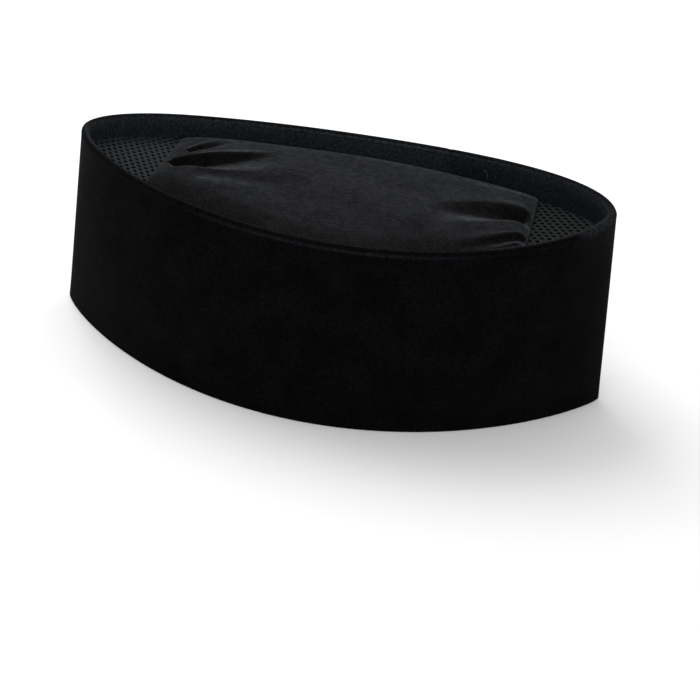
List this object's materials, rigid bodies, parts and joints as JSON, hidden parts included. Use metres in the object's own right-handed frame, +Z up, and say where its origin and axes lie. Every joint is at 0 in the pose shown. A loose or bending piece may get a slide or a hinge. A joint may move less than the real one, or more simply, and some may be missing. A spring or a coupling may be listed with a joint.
{
  "type": "songkok",
  "caption": "Stiff oval velvet cap with a tapered side band, a sunken puffed crown and net vent panels at both ends.",
  "frame": {"origin": "on the floor under the middle of the cap, at the centre of its open bottom edge", "axes": "+X along the cap's length, +Y across it, +Z up; in the picture +X is to the right and the camera looks along +Y"},
  "size_m": [0.2438, 0.1226, 0.0904],
  "materials": {
    "band_velvet": "deep black velvet with a soft sheen",
    "crown_velvet": "black velvet with a soft sheen and brushed nap",
    "vent_net": "matt black knitted net"
  },
  "bodies": {
    "root": {"side_band": "band_velvet", "crown_panel": "crown_velvet", "vent_mesh_left": "vent_net", "vent_mesh_right": "vent_net"}
  },
  "joints": []
}
